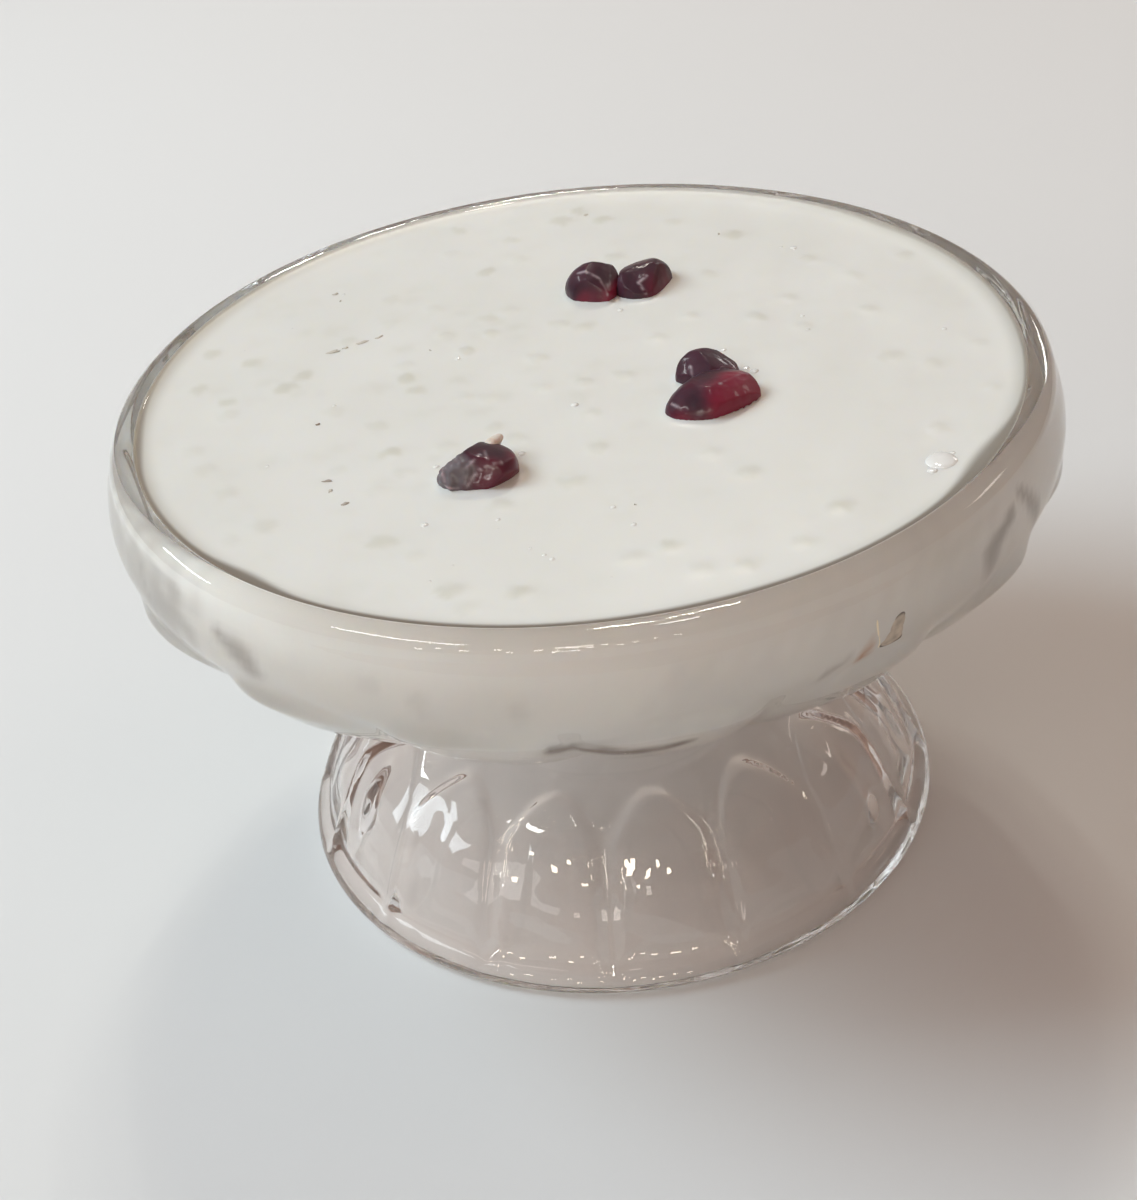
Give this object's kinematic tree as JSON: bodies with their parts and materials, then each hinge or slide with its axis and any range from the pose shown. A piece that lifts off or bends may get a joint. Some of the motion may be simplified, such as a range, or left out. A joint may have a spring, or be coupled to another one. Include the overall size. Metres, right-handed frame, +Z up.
{
  "type": "tapioca pudding in a footed glass bowl",
  "caption": "Milky tapioca pudding filling a clear pressed-glass dessert bowl on a hollow foot, topped with dark red pomegranate arils.",
  "frame": {"origin": "on the table, under the middle of the foot", "axes": "+Z up along the bowl's axis; -Y is the near side of the picture, +X its right"},
  "size_m": [0.1154, 0.1154, 0.0669],
  "materials": {
    "clear_glass": "clear pressed glass, fire-polished",
    "milk_pudding": "set milk pudding, smooth satin with faint pearls",
    "aril_skin": "dark red translucent skin, wet gloss"
  },
  "bodies": {
    "root": {"glass_bowl": "clear_glass", "pudding": "milk_pudding", "aril_1": "aril_skin", "aril_2": "aril_skin", "aril_3": "aril_skin", "aril_4": "aril_skin", "aril_5": "aril_skin"}
  },
  "joints": []
}
